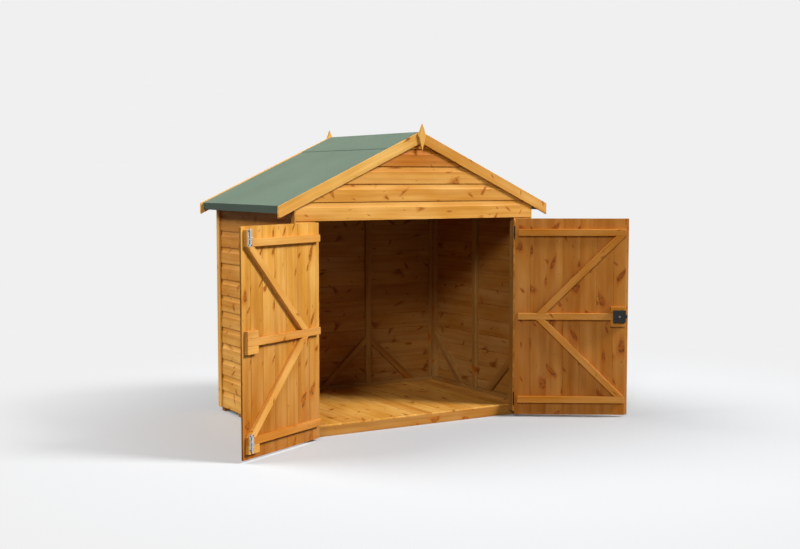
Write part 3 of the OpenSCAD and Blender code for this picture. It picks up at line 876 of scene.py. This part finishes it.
joints = {joint["name"]: joint for joint in frame["joints"]}
leafBoards = {
    "cover": 113,       # mm
    "thick": 12,
    "firstSeam": 106,   # from the hinge axis
    "gap": 1.2,
    "tongue": 5.5,
    "tongueThick": 4,
    "vee": 3.2,
    "ease": 1.0,
    "edge": 755,        # free edge, from the hinge axis
    "start": 3,
    "outer": 6,         # outer face, from the hinge axis
    "tones": {          # from the hinge to the free edge
        "left_door": (0.82, 0.78, 0.86, 0.76, 0.82, 0.7, 0.74),
        "right_door": (0.7, 0.6, 0.72, 0.62, 0.74, 0.66, 0.8),
    },
    "soakAndShade": {           # added at the foot and at the top: painted shade at the foot and painted light at the top
        "left_door": (-0.68, 0.22),
        "right_door": (-0.5, 0.02),
    },
}


def hang(piece, door):
    joint = joints[door + "_hinge"]
    piece.rotation_euler.z = math.radians(-joint["range_deg"][0]) * joint["axis"][2]
    piece.location = (joint["pos_m"][0], joint["pos_m"][1], 0)
    return settle(piece)


# One matchboard: a tongue towards the hinge, a groove towards the free edge, a V joint outside
def matchboardMaster(low, high):
    thick = leafBoards["thick"] * mm
    cover = leafBoards["cover"] * mm
    tongue, slip = leafBoards["tongue"] * mm, leafBoards["gap"] * mm
    lip = (thick - leafBoards["tongueThick"] * mm) / 2
    outer = leafBoards["outer"] * mm
    board = addBlock("matchboard", (slip, outer, low), (cover - tongue, outer + thick, high))
    scoreRound(board, (0, outer + lip, 0), yAxis)
    scoreRound(board, (0, outer + thick - lip, 0), yAxis)
    middle = outer + thick / 2
    pullFaces(board, lambda c, p: abs(c.x - slip) < mm / 2 and abs(c.y - middle) < lip / 2, (-tongue, 0, 0))
    pullFaces(board, lambda c, p: abs(c.x - cover + tongue) < mm / 2 and abs(c.y - middle) > lip / 2,
              (tongue, 0, 0))
    upright = lambda p: abs(p[0].z - p[1].z) > (high - low) / 2
    bevelEdges(board, lambda c, p: upright(p) and abs(c.y - outer) < mm / 2,
               offset=leafBoards["vee"] * mm, segments=1)
    bevelEdges(board, lambda c, p: upright(p) and abs(c.y - outer - thick) < mm / 2,
               offset=leafBoards["ease"] * mm, segments=1)
    return board


def boardLeaf(door, side, pine):
    low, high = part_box(door + "_boards")
    master = matchboardMaster(low.z, high.z)
    cover, edge = leafBoards["cover"] * mm, leafBoards["edge"] * mm
    start = leafBoards["start"] * mm
    place = leafBoards["firstSeam"] * mm - cover
    boards = []
    while place < edge:
        board = copyOf(master, door + "_boards")
        board.location.x = place
        settle(board)
        if place < start:
            cutOff(board, (start, 0, 0), (-1, 0, 0))
        last = place + cover > edge
        if last:
            movePoints(board, lambda c, p: c.x > place + cover / 2, (edge - place - cover, 0, 0))
        if side < 0:
            board.scale.x = -1
            settle(board)
            edit(board)
            bpy.ops.mesh.normals_make_consistent(inside=False)
            editDone()
        # Painted shade and light: each door board darkens towards the foot and pales towards the top
        tone = [leafBoards["tones"][door][len(boards)] + soakAndShade for soakAndShade in leafBoards["soakAndShade"][door]]
        # Painted shade: the inside of the right door and the free edge of the left one take the sawn colour
        freeEdge = xAxis if last else None
        boards.append(markGrain(board, zAxis, xAxis, yAxis if side < 0 else freeEdge, tone))
        place += cover
    bury(master)
    leaf = hang(joined(door + "_matchboards", boards), door)
    fit(leaf, pine, door, "cladding", door + "_boards")


boardLeaf("left_door", 1, leftPine)
boardLeaf("right_door", -1, shadedRightPine)
leafTimbers = {
    "left_door": (leftLedgePine, ("left_door_ledges", "left_door_braces", "left_door_blocks")),
    "right_door": (shadedRightLedgePine, ("right_door_ledges", "right_door_braces", "lock_block")),
}
footLedgeShade = {"left_door_ledges": (0.28,)}     # the ledge at the foot, darker as painted shade
for door, (pine, nodes) in leafTimbers.items():
    for node in nodes:
        timbers = easedTimbers(node + "_planed", node, tones=footLedgeShade.get(node, ()))
        fit(timbers, pine, door, "trim", node)
fit(easedTimbers("cover_strip_planed", "cover_strip"), brownPine, "right_door", "trim", "cover_strip")
print("doors boarded and hung")


# Metalwork keeps its solids

metalwork = {
    "jamb_hinges": (japan, "hinges"), "left_door_hinges": (japan, "hinges"),
    "right_door_hinges": (japan, "hinges"),
    "bolt_plates": (zinc, "zinc"), "top_bolt": (zinc, "zinc"), "bottom_bolt": (zinc, "zinc"),
    "lock_case": (enamel, "lock"), "lock_tongue": (enamel, "lock"),
}
for node, (metal, slot) in metalwork.items():
    solid = frame["nodes"][node]
    solid.data.materials.clear()
    solid.data.materials.append(metal)
print("metalwork finished")


# Nail and screw heads, each kind modelled once and copied

fixings = {             # mm, and the share of its height over which the rim is rounded
    "nail": {"radius": 2.4, "proud": 0.5, "sides": 8, "inset": 0.7, "dip": 0, "round": 0.6},
    "screw": {"radius": 4.2, "proud": 1.4, "sides": 12, "inset": 2.4, "dip": -0.9, "round": 0.6},
}
nailing = {
    "boardUp": 30,                              # above each board's lower edge, mm
    "sideLines": (-19, 548),
    "backLines": (-860, -358, 358, 860),        # along X
    "panelLines": (782, 870),
    "stripIn": 25,                              # from the edge of a corner strip
    "stripFoot": 60,
    "stripUp": 240,                             # from nail to nail
    "stripTop": 40,
    "bearerLines": (-560, -11, 545),            # along Y
    "deckIn": (28, 84),                         # across a floor board
    "deckEdge": 5,
    "ledges": (122, 695, 1268),                 # heights on the doors
    "ledgeSpread": 11,
    "ledgeStart": 64,                           # from the hinge axis
    "boardIn": 24,                              # from the edges of a door board
    "strapScrews": (62, 150, 238),              # from the hinge axis
    "strapFace": 3,
    "plateFace": 47,
    "plateScrews": ((695, 75), (721, 75), (695, 157), (721, 157),
                    (695, 1254), (721, 1254), (695, 1336), (721, 1336)),
    "jambFace": -643.5,
    "jambScrews": ((784, 92), (784, 152), (784, 1238), (784, 1298)),
}


def headMaster(kind):
    size = fixings[kind]
    radius, proud = size["radius"] * mm, size["proud"] * mm
    head = added(kind + "Head", bpy.ops.mesh.primitive_cylinder_add, vertices=size["sides"],
                 radius=radius, depth=proud * 2)
    pick(head, "FACE", lambda c, p: c.z > proud / 2)
    bpy.ops.mesh.inset(thickness=size["inset"] * mm)
    bpy.ops.transform.translate(value=(0, 0, size["dip"] * mm))
    editDone()
    close = mm / 20
    onRim = lambda v: abs(v.z - proud) < close and abs(v.xy.length - radius) < close
    bevelEdges(head, lambda c, p: all(onRim(v) for v in p), offset=proud * size["round"], segments=2)
    return head


# One joined piece of heads at places in mm, facing one way each
def driveHeads(name, kind, spots):
    master = headMaster(kind)
    heads = []
    for place, way in spots:
        head = copyOf(master, name)
        head.location = Vector(place) * mm
        head.rotation_euler = Vector(way).to_track_quat("Z", "Y").to_euler()
        heads.append(head)
    only(*heads)
    bpy.ops.object.transform_apply(location=True, rotation=True, scale=True)
    bury(master)
    return joined(name, heads)


def boardHeights(low, high):
    cover = shiplap["cover"]
    heights = [low + nailing["boardUp"]]
    seam = shiplap["wallSeam"]
    while seam + nailing["boardUp"] < high:
        heights.append(seam + nailing["boardUp"])
        seam += cover
    return heights


def nailWalls():
    low, high = [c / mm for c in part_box("left_wall")]
    spots = []
    for z in boardHeights(low.z, high.z):
        for y in nailing["sideLines"]:
            spots += [((s * -low.x, y, z), (s, 0, 0)) for s in (-1, 1)]
    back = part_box("back_wall")[1] / mm
    for z in boardHeights(low.z, high.z):
        spots += [((x, back.y, z), (0, 1, 0)) for x in nailing["backLines"]]
    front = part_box("front_panels")[0] / mm
    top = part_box("front_panels")[1].z / mm
    for z in boardHeights(low.z, top):
        for x in nailing["panelLines"]:
            spots += [((s * x, front.y, z), (0, -1, 0)) for s in (-1, 1)]
    fit(driveHeads("cladding_nails", "nail", spots), nailSteel, "shed", "zinc")
    stripLow, stripHigh = [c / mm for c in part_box("corner_strips")]
    middle = nailing["stripIn"]
    spots = []
    z = stripLow.z + nailing["stripFoot"]
    while z < stripHigh.z - nailing["stripTop"]:
        for y in (stripLow.y + middle, stripHigh.y - middle):
            spots += [((s * stripHigh.x, y, z), (s, 0, 0)) for s in (-1, 1)]
        z += nailing["stripUp"]
    deckLow, deckHigh = [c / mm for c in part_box("floor_deck")]
    for i in range(math.ceil((deckHigh.x - deckLow.x) / floorBoards["cover"])):
        for y in nailing["bearerLines"]:
            for across in nailing["deckIn"]:
                x = deckLow.x + i * floorBoards["cover"] + across
                if x < deckHigh.x - nailing["deckEdge"]:
                    spots.append(((x, y, deckHigh.z), (0, 0, 1)))
    fit(driveHeads("strip_and_deck_nails", "nail", spots), nailSteel, "shed", "zinc")


def fixLeaf(door, side):
    outer = leafBoards["outer"]
    spots = []
    left = leafBoards["firstSeam"] - leafBoards["cover"]
    while left < leafBoards["edge"]:
        right = min(left + leafBoards["cover"], leafBoards["edge"])
        for x, up in ((left + nailing["boardIn"], 1), (right - nailing["boardIn"], -1)):
            if nailing["ledgeStart"] < x:
                spots += [((side * x, outer, z + up * nailing["ledgeSpread"]), (0, -1, 0))
                          for z in nailing["ledges"]]
        left = right
    fit(hang(driveHeads(door + "_nails", "nail", spots), door), nailSteel, door, "zinc")
    spots = [((side * x, nailing["strapFace"], z), (0, -1, 0))
             for x in nailing["strapScrews"] for z in nailing["ledges"][::2]]
    fit(hang(driveHeads(door + "_hinge_screws", "screw", spots), door), japan, door, "hinges")


nailWalls()
fixLeaf("left_door", 1)
fixLeaf("right_door", -1)
spots = [((x, nailing["plateFace"], z), (0, 1, 0)) for x, z in nailing["plateScrews"]]
fit(hang(driveHeads("bolt_screws", "screw", spots), "left_door"), japan, "left_door", "hinges")
spots = [((s * x, nailing["jambFace"], z), (0, -1, 0)) for x, z in nailing["jambScrews"] for s in (-1, 1)]
fit(driveHeads("jamb_hinge_screws", "screw", spots), japan, "shed", "hinges")
print("nails and screws driven")


# Lock cylinder: a round plug in the face of the lock's boss, with a slot for the key

barrel = {
    "across": -710,     # mm from the hinge axis
    "up": 698,          # from the ground
    "face": 71,
    "radius": 6.5,
    "sides": 32,
    "proud": 1.2,
    "rim": 1.4,
    "step": 0.7,
    "slot": (2.2, 7, 5),    # width, height and depth
}


def setBarrel():
    proud = barrel["proud"] * mm
    plug = added("plug", bpy.ops.mesh.primitive_cylinder_add, vertices=barrel["sides"],
                 radius=barrel["radius"] * mm, depth=2 * proud)
    pick(plug, "FACE", lambda c, p: c.z > proud / 2)
    bpy.ops.mesh.inset(thickness=barrel["rim"] * mm)
    bpy.ops.mesh.extrude_region_move(TRANSFORM_OT_translate={"value": (0, 0, -barrel["step"] * mm)})
    editDone()
    half = Vector(barrel["slot"]) * mm / 2
    slot = addBlock("keySlot", -half, half)
    slot.location.z = proud
    settle(slot)
    cut = plug.modifiers.new("key_slot", "BOOLEAN")
    cut.object = slot
    only(plug)
    bpy.ops.object.modifier_apply(modifier="key_slot")
    bury(slot)
    plug.rotation_euler.x = -math.pi / 2
    plug.location = (barrel["across"] * mm, barrel["face"] * mm, barrel["up"] * mm)
    settle(plug)
    fit(hang(joined("lock_barrel", [plug]), "right_door"), nailSteel, "right_door", "zinc")


setBarrel()
print("lock cylinder set")


# Stage, light and camera

studio = {
    "floorWide": 120,       # m
    "floorGrey": 0.24,      # what the floor throws back on the shed
    "floorSeen": (0.6, 0.616, 0.63),  # what the camera sees of it
    "backdrop": 0.87,
    "floorMiddle": (0.5, -0.7, 0),  # m, in front of the doors
    "nearFloor": 1.2,       # m from that middle, where the floor starts to fade into the backdrop
    "farFloor": 4.2,
    "sky": 0.03,
}
lampAway = 6                # m
lamps = {                   # degrees: round from the front towards the right, up from level, and size
    "key_lamp": {"strength": 4.1, "round": 48, "up": 37, "spread": 18},
    "front_lamp": {"strength": 1.14, "round": -43, "up": 26, "spread": 14},
    "left_lamp": {"strength": 2.6, "round": -128, "up": 43, "spread": 42},
}


# 1 for what the camera sees, straight or in shiny metal, and 0 for the light that falls on the shed
def seenRays(tree):
    ray = addNode(tree, "LightPath")
    return addNode(tree, "Math", {0: ray.outputs["Is Camera Ray"], 1: ray.outputs["Is Glossy Ray"]},
                   operation="MAXIMUM").outputs[0]


def setStage():
    ground = added("studio_floor", bpy.ops.mesh.primitive_plane_add, size=studio["floorWide"])
    material, tree = newMaterial("pale_studio_floor")
    seen = seenRays(tree)
    far = addNode(tree, "Math", {0: seen, 1: studio["backdrop"]}, operation="MULTIPLY")
    grey = studio["floorGrey"]
    pale = addNode(tree, "Mix", {"Factor": seen, "A": (grey, grey, grey, 1),
                                 "B": (*studio["floorSeen"], 1)}, data_type="RGBA")
    matt = addNode(tree, "BsdfDiffuse", {"Color": pale.outputs["Result"]})
    fade = addNode(tree, "Emission", {"Strength": far.outputs[0]})
    where = addNode(tree, "TexCoord").outputs["Object"]
    reach = addNode(tree, "VectorMath", {0: where, 1: studio["floorMiddle"]}, operation="DISTANCE")
    share = addNode(tree, "MapRange", {0: reach.outputs["Value"], 1: studio["nearFloor"],
                                       2: studio["farFloor"]}, interpolation_type="SMOOTHSTEP")
    both = addNode(tree, "MixShader", {0: share.outputs[0], 1: matt.outputs[0], 2: fade.outputs[0]})
    addNode(tree, "OutputMaterial", {"Surface": both.outputs[0]})
    ground.data.materials.append(material)

    world = bpy.data.worlds.new("studio_sky")
    bpy.context.scene.world = world
    world.use_nodes = True
    tree = world.node_tree
    tree.nodes.clear()
    level = addNode(tree, "MapRange", ranged(seenRays(tree), 0, 1, studio["sky"], studio["backdrop"]))
    glow = addNode(tree, "Background", {"Color": (1, 1, 1, 1), "Strength": level.outputs[0]})
    addNode(tree, "OutputWorld", {"Surface": glow.outputs[0]})


def addLamp(name, lamp):
    turn, rise = math.radians(lamp["round"]), math.radians(lamp["up"])
    toLamp = Vector((math.sin(turn) * math.cos(rise), -math.cos(turn) * math.cos(rise), math.sin(rise)))
    made = added(name, bpy.ops.object.light_add, type="SUN", location=toLamp * lampAway)
    made.data.energy = lamp["strength"]
    made.data.angle = math.radians(lamp["spread"])
    made.rotation_euler = toLamp.to_track_quat("Z", "Y").to_euler()


photo = {
    "at": (-4.2139, -7.3996, 1.6319),   # m
    "tilt": 85.528,                     # degrees
    "turn": -31.004,
    "lens": 55.07,                      # mm
    "sensor": 36,
}


def setCamera():
    angles = math.radians(photo["tilt"]), 0, math.radians(photo["turn"])
    camera = added("photo_camera", bpy.ops.object.camera_add, location=photo["at"], rotation=angles)
    camera.data.sensor_width = photo["sensor"]
    camera.data.lens = photo["lens"]
    bpy.context.scene.camera = camera


setStage()
for name, lamp in lamps.items():
    addLamp(name, lamp)
setCamera()
bpy.context.scene.view_settings.view_transform = "Standard"
print("stage, lamps and camera set")
